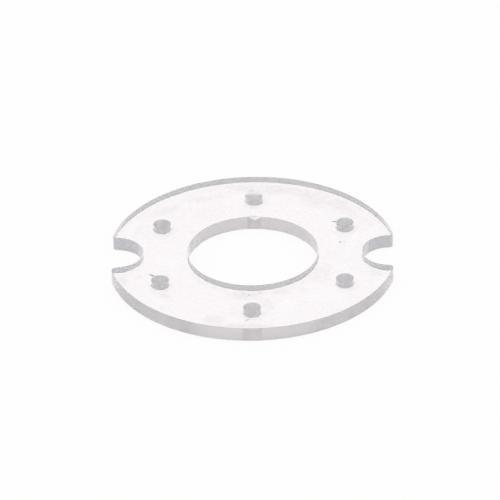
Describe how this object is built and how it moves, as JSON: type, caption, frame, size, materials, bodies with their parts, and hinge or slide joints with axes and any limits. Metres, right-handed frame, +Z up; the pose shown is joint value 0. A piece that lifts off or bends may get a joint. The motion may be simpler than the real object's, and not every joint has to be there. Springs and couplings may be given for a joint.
{
  "type": "rubber washer",
  "caption": "Flat round washer of clear rubber sheet with a wide bore, a ring of screw holes and open notches on opposite sides of the rim.",
  "frame": {"origin": "centre of the bore on the underside", "axes": "+Z up along the bore's axis, +X out through the middle of a rim notch"},
  "size_m": [0.0618, 0.0634, 0.0032],
  "materials": {
    "clear_rubber": "satin"
  },
  "bodies": {
    "root": {"washer": "clear_rubber"}
  },
  "joints": []
}
